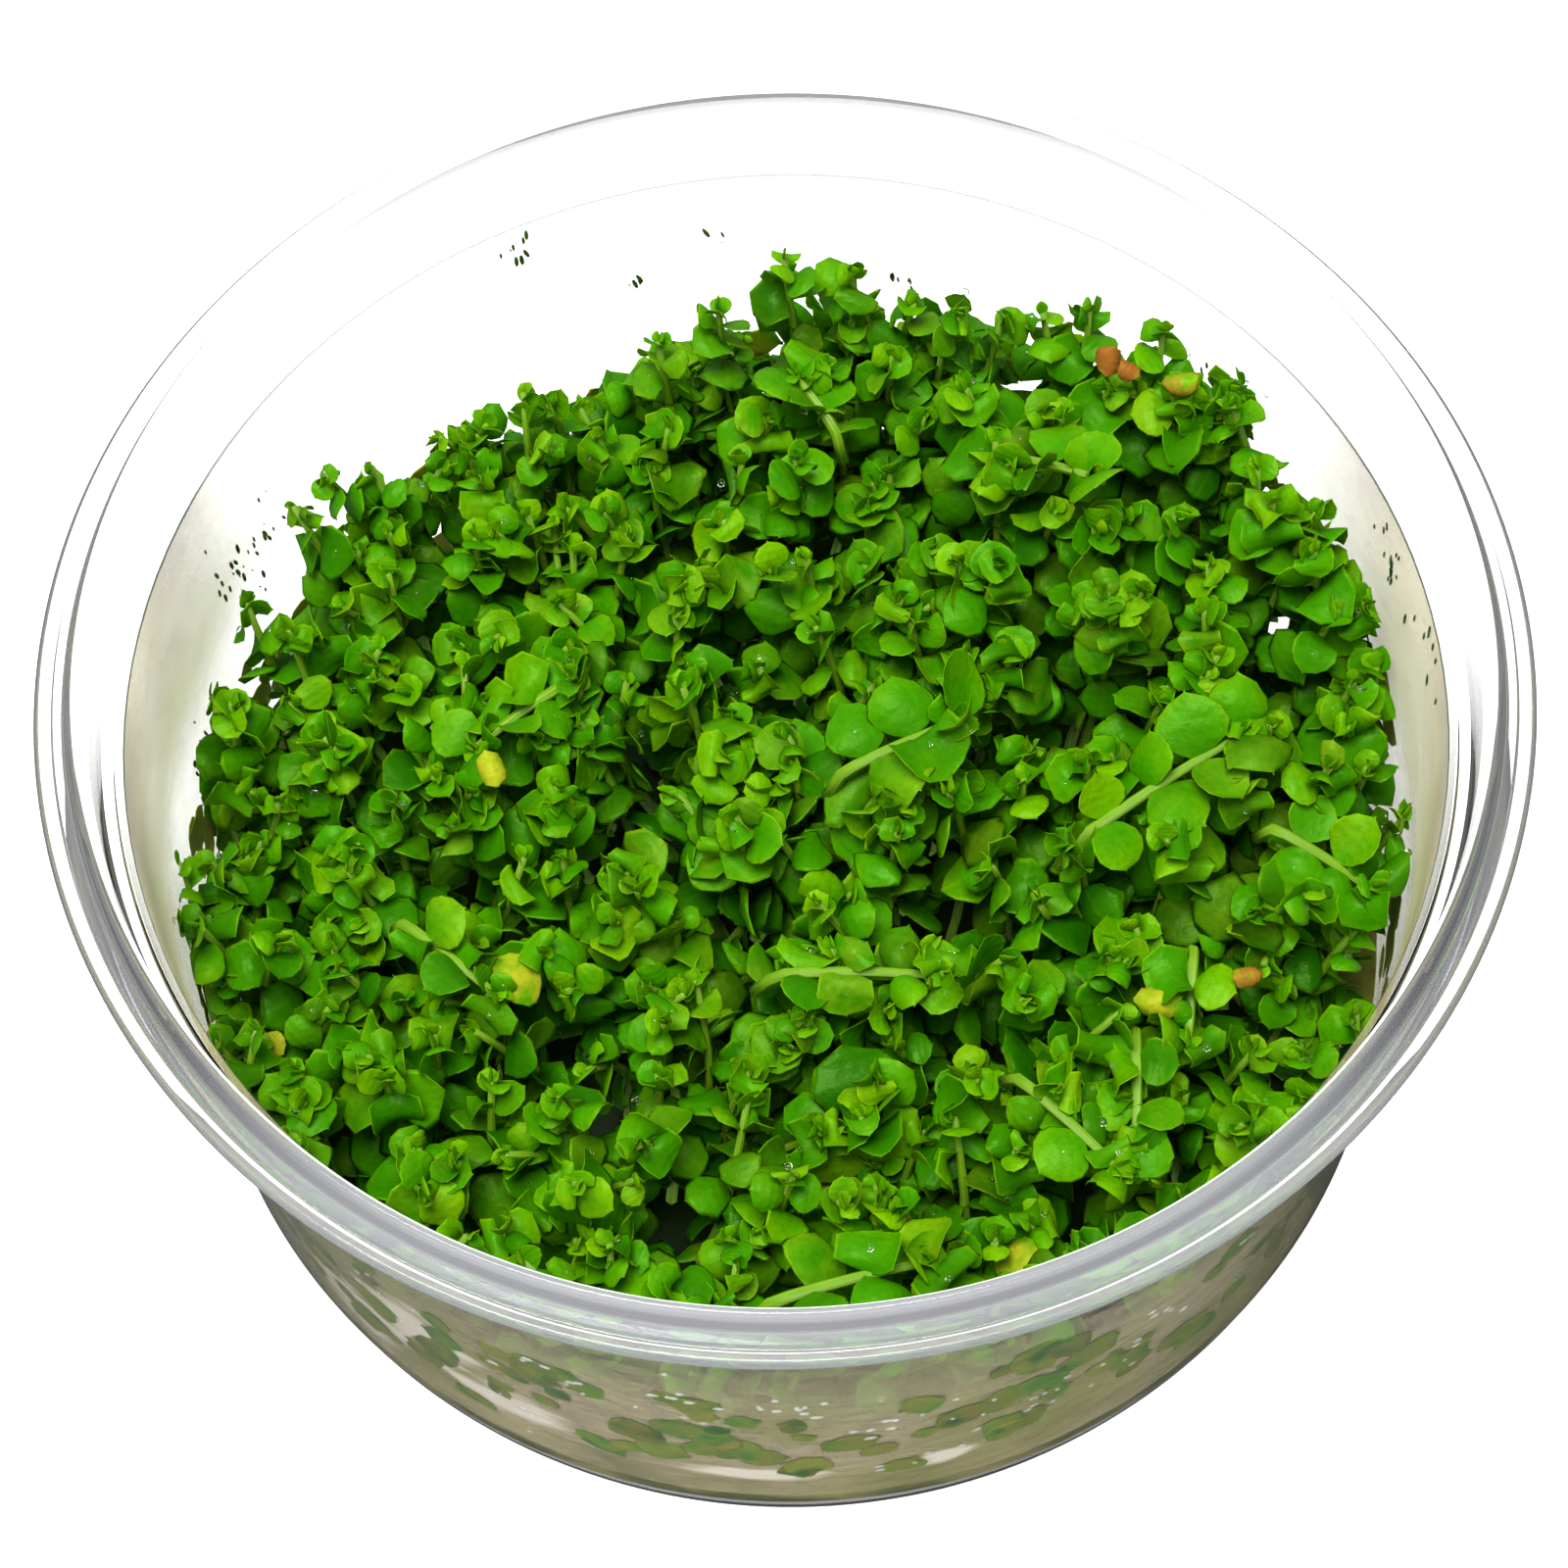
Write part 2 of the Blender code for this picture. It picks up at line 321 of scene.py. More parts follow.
def plastic_finish(graph):
    where = graph.node("TexCoord", output="Object")
    waves = noise(graph, where, 90.0, 1.0)
    scuffs = noise(graph, where, 900.0, 4.0)
    bump = graph.node("Bump", None, {"Strength": 0.12, "Distance": 0.0002, "Height": waves})
    values = {
        "Base Color": PLASTIC_TINT,
        "Roughness": step(graph, scuffs, 0.55, 0.8) * 0.08 + 0.01,
        "IOR": PLASTIC_IOR,
        "Transmission Weight": 1.0,
        "Normal": bump,
    }
    clear = graph.node("BsdfPrincipled", None, values)
    y, z = (graph.node("SeparateXYZ", None, {0: where}, axis) for axis in "YZ")
    # Painted reflection with the rim's real cloudiness: white mixed in above the ledge and on the lip, most at the
    # front.
    front = 1 - step(graph, y, -44 * MM, -25 * MM)
    haze_and_reflection = step(graph, z, HAZE_AND_REFLECTION_FROM * MM, HAZE_AND_REFLECTION_FULL * MM) * (SIDE_HAZE_AND_REFLECTION + FRONT_HAZE_AND_REFLECTION * front)
    lip = step(graph, z, LIP_HAZE_AND_REFLECTION_FROM * MM, LIP_HAZE_AND_REFLECTION_FULL * MM)
    haze_and_reflection = haze_and_reflection + lip * (LIP_SIDE_HAZE_AND_REFLECTION + LIP_FRONT_HAZE_AND_REFLECTION * front)
    cloudy_and_reflection = graph.node("BsdfPrincipled", None, {"Base Color": HAZE_AND_REFLECTION_WHITE, "Roughness": 0.5})
    return lets_lamps_through(graph, graph.node("MixShader", None, {0: haze_and_reflection, 1: clear, 2: cloudy_and_reflection}))


clear_plastic = new_material("clear_plastic", plastic_finish)

# %% [markdown]
# ## Turned pieces
#
# The cup, the gel and the film of moisture on the wall are all round, so each is an outline of
# (radius, height) points turned about the upright axis. Every corner of the outline is rounded
# by an arc first: it is the small curved edges of clear plastic that show as lines.

# %% Round an outline's corners and turn it
ARC_STEPS = 4


def rounded(corners):
    """An outline whose corners (radius, height, rounding) are replaced by arcs."""
    outline = []
    for index, (radius, height, rounding) in enumerate(corners):
        here = np.array((radius, height))
        if rounding == 0:
            outline.append(here)
            continue
        before = np.array(corners[index - 1][:2]) - here
        after = np.array(corners[index + 1][:2]) - here
        before_length, after_length = np.linalg.norm(before), np.linalg.norm(after)
        half = math.acos(np.clip(before @ after / (before_length * after_length), -1, 1)) / 2
        reach = min(rounding / math.tan(half), 0.49 * before_length, 0.49 * after_length)
        start = here + before / before_length * reach
        end = here + after / after_length * reach
        for share in np.linspace(0, 1, ARC_STEPS + 1):
            along_start = start + (here - start) * share
            along_end = here + (end - here) * share
            outline.append(along_start + (along_end - along_start) * share)
    return outline


def turned(name, outline, sides, material):
    """Turns an outline in millimetres. One that starts and ends on the axis is closed there."""
    outline = np.array(outline) * MM
    angles = np.arange(sides) * 2 * math.pi / sides
    rings = [i for i, point in enumerate(outline) if point[0] > 1e-6]
    points = []
    first = {}
    for index, (radius, height) in enumerate(outline):
        first[index] = len(points)
        spread = angles if index in rings else [0.0]
        points += [(radius * math.cos(a), radius * math.sin(a), height) for a in spread]
    pairs = [(i, i + 1) for i in range(len(outline) - 1)]
    if len(rings) == len(outline):
        pairs.append((len(outline) - 1, 0))
    faces = []
    for low, high in pairs:
        for side in range(sides):
            after = (side + 1) % sides
            corners = [first[low] + side, first[low] + after, first[high] + after, first[high] + side]
            if low not in rings:
                corners = [first[low], first[high] + after, first[high] + side]
            if high not in rings:
                corners = [first[low] + side, first[low] + after, first[high]]
            faces.append(corners)
    return add_piece(name, points, faces, [material])


def add_piece(name, points, faces, materials):
    """A smooth-shaded mesh object that rides on the part's one body."""
    mesh = bpy.data.meshes.new(name)
    mesh.from_pydata(points, [], faces)
    mesh.shade_smooth()
    piece = bpy.data.objects.new(name, mesh)
    bpy.context.scene.collection.objects.link(piece)
    for material in materials:
        mesh.materials.append(material)
    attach(piece, "root")
    return piece


# %% [markdown]
# ## The cup
#
# Its outline runs from the middle of the underside out round the bottom corner, up the wall,
# out at the ledge, up the collar and round the flange, over the lip, and back down inside. The
# flange has a shallow groove near its edge, which the photo shows as a second fine ring.

# %% The cup's outline
wall_foot_radius = flange_radius - 4.9
wall_top_radius = flange_radius - 4.3
inner_foot_radius = wall_foot_radius - 0.45
inner_top_radius = wall_top_radius - 0.4
collar_radius = flange_radius - 3.2
lip_radius = flange_radius - 3.6
foot_height = 6.0
ledge_height = rim_height - 7.9
flange_height = rim_height - 2.0
floor_top = 0.9
CUP_SIDES = 240

cup_corners = [
    (0.0, 0.0, 0),
    (wall_foot_radius - 0.1, 0.0, foot_height),
    (wall_top_radius, ledge_height - 0.7, 0.4),
    (collar_radius, ledge_height, 0.4),
    (collar_radius, flange_height - 0.9, 0.5),
    (flange_radius - 0.5, flange_height - 0.5, 0.4),
    (flange_radius, flange_height, 0.45),
    (flange_radius - 0.45, flange_height + 0.45, 0.35),
    (flange_radius - 0.95, flange_height + 0.42, 0.2),
    (flange_radius - 1.25, flange_height + 0.18, 0.25),
    (flange_radius - 1.55, flange_height + 0.42, 0.2),
    (flange_radius - 2.3, flange_height + 0.7, 0.5),
    (flange_radius - 2.75, rim_height - 0.35, 0.3),
    (flange_radius - 3.0, rim_height, 0.25),
    (flange_radius - 3.35, rim_height, 0.25),
    (lip_radius, rim_height - 0.35, 0.3),
    (lip_radius - 0.25, ledge_height + 0.65, 0.5),
    (inner_top_radius, ledge_height, 0.4),
    (inner_foot_radius, foot_height, 1.0),
    (inner_foot_radius - 0.1, floor_top, foot_height - 0.6),
    (0.0, floor_top, 0),
]
cup = turned("clear_cup", rounded(cup_corners), CUP_SIDES, clear_plastic)
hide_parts("cup")
print("faces in the cup:", len(cup.data.polygons))

# %% [markdown]
# ## The gel bed
#
# The plants are rooted in soft growing gel. It is cloudy and slightly olive, and its top climbs
# a little where it meets the wall. A part of its light is scattered and the rest passes through.

# %% The gel
GEL_PALE = srgb(164, 156, 92)
GEL_OLIVE = srgb(88, 98, 26)
GEL_TOP_SHADE = srgb(14, 32, 5)
GEL_IOR = 1.34


def wall_radius(height):
    """The wall's inner radius in millimetres at this height."""
    share = (height - foot_height) / (ledge_height - foot_height)
    return inner_foot_radius + (inner_top_radius - inner_foot_radius) * share


def gel_finish(graph):
    where = graph.node("TexCoord", output="Object")
    clouds = noise(graph, where * (1.0, 1.0, 2.0), 130.0, 3.0)
    x, y, z = (graph.node("SeparateXYZ", None, {0: where}, axis) for axis in "XYZ")
    out = graph.node("Math", {"operation": "SQRT"}, {0: x * x + y * y})
    shaded = step(graph, z, (gel_top - 1.2) * MM, (gel_top - 0.6) * MM) * (1 - step(graph, out, 42 * MM, 45 * MM))
    colour = mixed(graph, step(graph, clouds, 0.4, 0.7), GEL_OLIVE, GEL_PALE)
    colour = mixed(graph, shaded, colour, GEL_TOP_SHADE)
    values = {
        "Base Color": colour,
        "Roughness": 0.25 + clouds * 0.2,
        "IOR": GEL_IOR,
        "Specular IOR Level": 0.1,
        "Transmission Weight": 0.25,
    }
    return lets_lamps_through(graph, graph.node("BsdfPrincipled", None, values))


growing_gel = new_material("growing_gel", gel_finish)
gel_low_height = gel_low.z / MM
gel_radius = gel_high.x / MM
gel_corners = [
    (0.0, gel_low_height, 0),
    (gel_radius - 0.1, gel_low_height, foot_height - 1.2),
    (gel_radius, gel_top, 0.15),
    (gel_radius - 1.0, gel_top - 0.35, 1.2),
    (0.0, gel_top - 0.5, 0),
]
gel = turned("gel_bed", rounded(gel_corners), CUP_SIDES // 2, growing_gel)
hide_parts("gel")

# %% [markdown]
# ## One leaf
#
# A leaf is a thin closed lens over a grid: `along` runs from stalk to tip and `across` from rim
# to rim. The flat outline is a round blade with a short stalk and a small point. The blade is
# then folded about its midrib, bent lengthwise at one place, and twisted. A leaf bent down
# sharply shows from above as a shield with two corners, which is how most leaves in the photo
# look, so bends run from nearly flat to more than a right angle. Thirty forms are enough: they
# are turned, scaled and tilted so that no two look alike.

# %% Leaf forms
draw = np.random.default_rng(40)


def soft_step(values, low, high):
    share = np.clip((values - low) / (high - low), 0, 1)
    return share * share * (3 - 2 * share)


def leaf_form(steps, width, rise, bend, bend_place, bend_reach, fold, twist, ripple, point):
    """Points, faces and places of a leaf 1 long, its stalk at the origin and its tip towards +X."""
    rows, columns = steps
    along = (1 - np.cos(np.linspace(0, math.pi, rows + 1))) / 2
    across = np.sin(np.linspace(-1, 1, columns + 1) * math.pi / 2)
    blade = np.clip((along - 0.09) / 0.87, 0, 1)
    oval = 2 * np.sqrt(blade * (1 - blade))
    pointed = 2.99 * blade**0.7 * (1 - blade) ** 0.9
    half = width / 2 * ((1 - point) * oval + point * pointed) + 0.055 * (1 - along) + 0.012
    slope = rise - bend * soft_step(along, bend_place - bend_reach, bend_place + bend_reach)
    gaps = np.diff(along, prepend=0.0)
    centre_x = np.cumsum(np.cos(slope) * gaps)
    centre_z = np.cumsum(np.sin(slope) * gaps)
    flat = half[:, None] * across[None, :]
    curl = fold / (width / 2)
    side = np.sin(curl * flat) / curl
    drop = -(1 - np.cos(curl * flat)) / curl
    wave = np.sin(2 * math.pi * 1.4 * along + 9 * point)
    drop = drop + ripple * wave[:, None] * np.sign(across) * across**2
    turn = twist * along[:, None]
    side, drop = side * np.cos(turn) - drop * np.sin(turn), side * np.sin(turn) + drop * np.cos(turn)
    belly = 0.035 * (1 - across[None, :] ** 2) * np.sqrt(np.sin(math.pi * np.clip(along, 0.02, 0.98)))[:, None]
    layers = []
    for lift in (belly, -belly):
        out = drop + lift
        x = centre_x[:, None] - np.sin(slope)[:, None] * out
        z = centre_z[:, None] + np.cos(slope)[:, None] * out
        layers.append(np.stack([x, side, z], axis=2))
    top = np.arange((rows + 1) * (columns + 1)).reshape(rows + 1, columns + 1)
    bottom = top.copy()
    inside = (rows - 1) * (columns - 1)
    bottom[1:-1, 1:-1] = top.size + np.arange(inside).reshape(rows - 1, columns - 1)
    points = np.concatenate([layers[0].reshape(-1, 3), layers[1][1:-1, 1:-1].reshape(-1, 3)])
    upper = np.stack([top[:-1, :-1], top[1:, :-1], top[1:, 1:], top[:-1, 1:]], axis=2).reshape(-1, 4)
    lower = np.stack([bottom[:-1, :-1], bottom[:-1, 1:], bottom[1:, 1:], bottom[1:, :-1]], axis=2)
    far = np.broadcast_to(along[:, None], flat.shape)
    rim = np.broadcast_to(np.abs(across)[None, :], flat.shape)
    place = np.stack([far, rim, np.zeros_like(flat)], axis=2)
    under = place[1:-1, 1:-1].copy()
    under[..., 2] = 1.0
    places = np.concatenate([place.reshape(-1, 3), under.reshape(-1, 3)])
    return points, np.concatenate([upper, lower.reshape(-1, 4)]), places


def random_form(steps, bends, folds, widths, points, ripples=(0.0, 0.05), bend_reach=0.3):
    """A leaf with its bend, fold (both in degrees), width and so on drawn from these ranges."""
    return leaf_form(
        steps,
        width=draw.uniform(*widths),
        rise=math.radians(draw.uniform(5, 30)),
        bend=math.radians(draw.uniform(*bends)),
        bend_place=draw.uniform(0.4, 0.62),
        bend_reach=bend_reach,
        fold=math.radians(draw.uniform(*folds)),
        twist=math.radians(draw.uniform(-30, 30)),
        ripple=draw.uniform(*ripples),
        point=draw.uniform(*points),
    )


FINE, FLAT, COARSE = (8, 7), (6, 5), (4, 4)
mild_forms = [random_form(FINE, (20, 60), (-25, 45), (0.85, 1.08), (0.1, 0.7)) for _ in range(10)]
curled_forms = [random_form(FINE, (70, 140), (-70, -12), (1.05, 1.3), (0.1, 0.8), bend_reach=0.16) for _ in range(12)]
rolled_forms = [random_form(FINE, (10, 45), (65, 105), (1.05, 1.3), (0.0, 0.3)) for _ in range(8)]
wavy_forms = [random_form(FINE, (20, 90), (20, 60), (0.95, 1.15), (0.2, 0.7), (0.03, 0.08)) for _ in range(8)]
cupped_forms = [random_form(FINE, (-25, 5), (-60, -25), (0.8, 1.0), (0.2, 0.6)) for _ in range(5)]
middle_forms = [
    random_form(FLAT, (20, 120), (-50, 45), (0.95, 1.2), (0.1, 0.7), (0.0, 0.06), bend_reach=0.2) for _ in range(14)
]
hidden_forms = [random_form(COARSE, (15, 70), (10, 50), (0.85, 1.1), (0.1, 0.6)) for _ in range(6)]
flat_forms = [random_form(FLAT, (10, 60), (-20, 30), (0.7, 1.15), (0.1, 0.8), (0.0, 0.1)) for _ in range(12)]
print("points in a fine leaf:", len(mild_forms[0][0]), "and in a coarse one:", len(hidden_forms[0][0]))

# %% [markdown]
# ## Piling leaves and stems
#
# Thousands of leaves as separate objects would be slow, so each plantlet's leaves and stems are
# joined in one mesh. A pile gathers their points, faces and paint values, and becomes a mesh at
# the end. Points that would pass through the wall are pressed back against its inside, the way
# real leaves flatten on the plastic.

# %% The pile
WALL_GAP = 0.65
PRESS_DEPTH = 1.1


def pressed(points, wall_gap=WALL_GAP, depth=PRESS_DEPTH):
    """Holds points inside the wall and above the gel, packing the last millimetre closer."""
    reach = np.hypot(points[:, 0], points[:, 1])
    soft = wall_radius(points[:, 2]) - wall_gap - depth
    held = soft + depth * (1 - np.exp(-np.maximum(reach - soft, 0) / depth))
    scale = np.where(reach > soft, held / np.maximum(reach, 1e-6), 1.0)
    points = points * np.stack([scale, scale, np.ones_like(scale)], axis=1)
    points[:, 2] = np.maximum(points[:, 2], gel_top - 0.4)
    return points


class Pile:
    """Leaves and stems that will be one mesh. Sizes are in millimetres."""

    def __init__(self):
        self.points, self.faces, self.places, self.tints, self.kinds = [], [], [], [], []
        self.count = 0
        self.leaves = 0

    def add(self, points, faces, places, tint, kind):
        self.points.append(points)
        self.faces += [tuple(face) for face in (np.asarray(faces) + self.count).tolist()]
        self.places.append(places)
        self.tints.append(np.tile(tint, (len(points), 1)))
        self.kinds += [kind] * len(faces)
        self.count += len(points)

    def mesh(self, name):
        """One object with the two paint values on its points."""
        points = np.concatenate(self.points) * MM
        piece = add_piece(name, points, self.faces, [leaf_green, stem_green])
        piece.data.polygons.foreach_set("material_index", self.kinds)
        for label, rows in (("leaf_place", self.places), ("leaf_tint", self.tints)):
            layer = piece.data.attributes.new(label, "FLOAT_VECTOR", "POINT")
            layer.data.foreach_set("vector", np.concatenate(rows).ravel())
        return piece


def unit(vector):
    return vector / np.linalg.norm(vector)


def put_leaf(pile, form, base, outward, upward, length, tint):
    """Sets a leaf with its stalk at base, its tip outward and its top upward."""
    ahead = unit(outward)
    top = unit(upward - ahead * (upward @ ahead))
    aside = np.cross(top, ahead)
    points, faces, places = form
    frame_of_leaf = np.stack([ahead, aside, top])
    pile.add(pressed(base + points @ frame_of_leaf * length), faces, places, tint, 0)
    pile.leaves += 1


STEM_SIDES = 6


def put_stem(pile, path, thick, thin, bright):
    """A tube along the path that thins towards its end, closed at both ends."""
    path = np.asarray(path)
    heading = unit(path[-1] - path[0])
    across = unit(np.cross(heading, (0.36, 0.48, 0.8)))
    along_steps = len(path)
    rings = []
    for index, centre in enumerate(path):
        tangent = unit(path[min(index + 1, along_steps - 1)] - path[max(index - 1, 0)])
        first = unit(across - tangent * (across @ tangent))
        second = np.cross(tangent, first)
        radius = thick + (thin - thick) * index / (along_steps - 1)
        for side in range(STEM_SIDES):
            angle = side * 2 * math.pi / STEM_SIDES
            rings.append(centre + radius * (math.cos(angle) * first + math.sin(angle) * second))
    faces = []
    for index in range(along_steps - 1):
        for side in range(STEM_SIDES):
            after = (side + 1) % STEM_SIDES
            low, high = index * STEM_SIDES, (index + 1) * STEM_SIDES
            faces.append((low + side, low + after, high + after, high + side))
    half = STEM_SIDES // 2
    last = (along_steps - 1) * STEM_SIDES
    faces.append((2, 1, 0, STEM_SIDES - 1))
    faces.append((2, STEM_SIDES - 1, half + 1, half))
    faces.append((last, last + 1, last + 2, last + STEM_SIDES - 1))
    faces.append((last + half, last + half + 1, last + STEM_SIDES - 1, last + 2))
    sides = np.tile(np.arange(STEM_SIDES) / STEM_SIDES, along_steps)
    far = np.repeat(np.linspace(0, 1, along_steps), STEM_SIDES)
    places = np.stack([far, sides, np.zeros_like(far)], axis=1)
    pile.add(pressed(np.array(rings)), faces, places, (bright, 0.0, 0.0), 1)


piles = {name: Pile() for name in plantlets}
middles = {}
for name in plantlets:
    low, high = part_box(name)
    middles[name] = (np.array(low) + np.array(high))[:2] / 2 / MM


def nearest(x, y):
    """The pile of the plantlet that stands nearest to this spot."""
    gap = {name: math.hypot(x - centre[0], y - centre[1]) for name, centre in middles.items()}
    return piles[min(gap, key=gap.get)]


# %% [markdown]
# ## The mat's height
#
# The mat is lowest at the front left and rises to a hill at the back right, as the plantlets in
# the frame do. The same soft hills are used here: a base height and a few rises, each with a
# middle, a height and a spread.

# %% Height of the mat
MAT_BASE = 26.0
MAT_RISES = [(32, 20, 13.5, 23), (2, 42, 6, 9), (-34, 26, 3, 9), (4, -6, 2, 15)]


def mat_height(x, y):
    rises = [up * math.exp(-((x - a) ** 2 + (y - b) ** 2) / spread**2) for a, b, up, spread in MAT_RISES]
    return MAT_BASE + sum(rises)


print("mat height at the middle and the hill:", round(mat_height(0, 0), 1), round(mat_height(32, 20), 1))

# %% [markdown]
# ## Growing the stems
#
# Stems stand all over the gel on a jittered grid. Each leans a little, and carries pairs of
# leaves, each pair turned a right angle from the last. The youngest pair at the tip is small,
# upright and cupped, and the pairs below it are larger and spread flatter. Stems near the wall
# keep their leaves all the way down, because the wall shows them, and inner stems don't.

# %% Stems with their pairs of leaves
STEM_PITCH = 4.85
FIELD_RADIUS = 45.8
EDGE_RADIUS, EDGE_STEP = 44.8, 5.6
PAIR_DEPTHS = [0.2, 1.0, 2.5, 4.6, 7.2, 10.2, 13.4, 16.8, 20.4, 24.2]
PAIR_LENGTHS = [1.5, 2.4, 3.4, 4.1, 4.5, 4.6, 4.5, 4.4, 4.3, 4.2]
PAIR_LIFTS = [62, 42, 24, 10, 2, -4, -8, -8, -8, -8]
INNER_PAIRS = 7
FORM_SHARES = [0.24, 0.36, 0.16, 0.16, 0.08]
dew_spots = []


def leaf_tint(depth):
    """Leaves lower on a stem are painted darker as shade, with a random spread. A few old ones turn yellow."""
    bright = np.clip(0.66 - 0.06 * depth + draw.normal(0, 0.18), 0.02, 1.0)
    yellow = 0.8 if draw.random() < 0.002 else max(0.0, draw.normal(0.02, 0.06))
    return (bright, yellow, 0.0)


def form_for(level):
    if level == 0:
        return cupped_forms[draw.integers(len(cupped_forms))]
    if level == 3:
        return middle_forms[draw.integers(len(middle_forms))]
    if level >= 4:
        return hidden_forms[draw.integers(len(hidden_forms))]
    kinds = [mild_forms, curled_forms, rolled_forms, wavy_forms, cupped_forms]
    chosen = kinds[draw.choice(len(kinds), p=FORM_SHARES)]
    return chosen[draw.integers(len(chosen))]


def put_pairs(pile, path_at, head, levels, size, turn):
    """Pairs of leaves down from the tip of a stem. path_at(depth) gives the stem's point."""
    across = unit(np.cross(head, (0.21, 0.34, 0.09)))
    second = np.cross(head, across)
    for level in range(levels):
        depth = PAIR_DEPTHS[level]
        base = path_at(depth)
        if base[2] < gel_top + 1.0:
            break
        turn += math.pi / 2 + draw.normal(0, 0.35)
        for half_turn in (0, math.pi):
            angle = turn + half_turn + draw.normal(0, 0.25)
            lift = math.radians(PAIR_LIFTS[level] + draw.normal(0, 17))
            flat = math.cos(angle) * across + math.sin(angle) * second
            outward = math.cos(lift) * flat + math.sin(lift) * head
            upward = math.cos(lift) * head - math.sin(lift) * flat + draw.normal(0, 0.36, 3)
            length = PAIR_LENGTHS[level] * size * draw.uniform(0.84, 1.14)
            put_leaf(pile, form_for(level), base, outward, upward, length, leaf_tint(depth))
            if 1 <= level <= 3 and draw.random() < 0.26:
                dew_spots.append((base + unit(outward) * length * 0.5, unit(upward)))


def grow_stem(x, y, top, size=1.0, lean=None, levels=None):
    """A stem from the gel to the height top, with its leaves."""
    out = math.hypot(x, y)
    lean = draw.normal(0, 2.4, 2) if lean is None else np.array(lean)
    foot = np.array((x, y, gel_top - 0.3))
    tip = np.array((x + lean[0], y + lean[1], top))
    wander = np.array((*draw.normal(0, 1.2, 2), 0.0))
    length = np.linalg.norm(tip - foot)

    def path_at(depth):
        share = min(max(1 - depth / length, 0.0), 1.0)
        bow = share**1.8
        point = foot + (tip - foot) * np.array((bow, bow, share))
        return point + wander * math.sin(math.pi * share)

    head = unit(unit(path_at(0) - path_at(3.0)) + draw.normal(0, 0.3, 3))
    levels = levels or (len(PAIR_DEPTHS) if out > 38 else INNER_PAIRS)
    pile = nearest(x, y)
    bright = draw.uniform(0.75, 1.0)
    path = [path_at(depth) for depth in np.linspace(length, 0, 7)]
    put_stem(pile, path, draw.uniform(0.42, 0.6), 0.28, bright)
    put_pairs(pile, path_at, head, levels, size, draw.uniform(0, 2 * math.pi))


def stem_field():
    """Spots on a jittered grid of triangles that covers the gel."""
    row_gap = STEM_PITCH * math.sqrt(3) / 2
    rows = int(FIELD_RADIUS / row_gap) + 1
    spots = []
    for row in range(-rows, rows + 1):
        for column in range(-rows - 2, rows + 3):
            x = (column + 0.5 * (row % 2)) * STEM_PITCH + draw.normal(0, 0.9)
            y = row * row_gap + draw.normal(0, 0.9)
            if math.hypot(x, y) < FIELD_RADIUS:
                spots.append((x, y))
    return spots


spots = stem_field()
for x, y in spots:
    grow_stem(x, y, mat_height(x, y) + draw.normal(0, 1.7), size=draw.uniform(0.85, 1.18))
for degrees in np.arange(62, 222, EDGE_STEP):
    angle = math.radians(degrees + draw.normal(0, 1.5))
    x, y = EDGE_RADIUS * math.cos(angle), EDGE_RADIUS * math.sin(angle)
    grow_stem(x, y, mat_height(x, y) + draw.normal(-2.5, 1.5), draw.uniform(0.85, 1.1), levels=6)
print("stems:", len(spots), "leaves so far:", sum(pile.leaves for pile in piles.values()))

# %% [markdown]
# ## Runners
#
# A few long stems lie on top of the mat, nearly level, with a pair of large leaves at each
# joint. Their places are read off the photo as spots on the mat: start and end, in millimetres
# from the middle of the cup.

# %% Runners over the mat
RUNNERS = [
    ((3, 0.5), (13, 4), 6.8),
    ((20, -6.5), (34, 1), 6.0),
    ((-3, -14.8), (11, -15.5), 4.6),
    ((5.5, 30.5), (2.0, 36), 5.0),
    ((15, 26.5), (24, 21), 5.4),
    ((35, -5), (43, -10), 5.4),
    ((15, -22.5), (23, -31), 5.0),
    ((-4, -40), (8.5, -37), 5.6),
    ((24.8, -19), (24.0, -30), 4.8),
    ((29.5, -13), (28.5, -21), 4.6),
    ((-16, 12), (-24, 6), 4.8),
    ((-30, -8), (-22, -15), 4.8),
]
RUNNER_RISE = 1.2
JOINT_GAP = 4.6


def lay_runner(start, end, leaf_length):
    start, end = np.array(start, float), np.array(end, float)
    span = np.linalg.norm(end - start)
    joints = max(2, int(span / JOINT_GAP) + 1)
    path = []
    for share in np.linspace(0, 1, 3 * joints + 1):
        spot = start + (end - start) * share
        bow = 0.6 * math.sin(math.pi * share) - 2.5 * max(0.0, 0.12 - share) / 0.12
        path.append((*spot, mat_height(*spot) + RUNNER_RISE + bow))
    path = np.array(path)
    pile = nearest(*start)
    put_stem(pile, path, 0.52, 0.36, 1.0)
    heading = unit(path[-1] - path[0])
    sky = np.array((0.0, 0.0, 1.0))
    aside = unit(np.cross(sky, heading))
    for joint in range(1, joints + 1):
        base = path[3 * joint]
        for side in (-1, 1):
            tilt = math.radians(draw.uniform(-15, 40))
            ahead = side * aside + heading * draw.uniform(-0.2, 0.6)
            outward = unit(ahead) * math.cos(tilt) + sky * math.sin(tilt)
            form = form_for(2)
            size = leaf_length * draw.uniform(0.7, 0.95)
            put_leaf(pile, form, base, outward, sky + draw.normal(0, 0.35, 3), size, leaf_tint(1.5))
            dew_spots.append((base + outward * size * 0.45, sky))

    def tip_at(depth):
        return path[-1] - heading * depth * 0.4 + sky * (0.5 - 0.1 * depth)

    put_pairs(pile, tip_at, unit(heading + 0.8 * sky), 3, 0.85, draw.uniform(0, math.pi))


for start, end, leaf_length in RUNNERS:
    lay_runner(start, end, leaf_length)

# %% [markdown]
# ## Sprigs that stand proud
#
# At the back and the left a few stems reach above the mat and make its broken outline. Each is
# a stem with a named height, grown the same way.

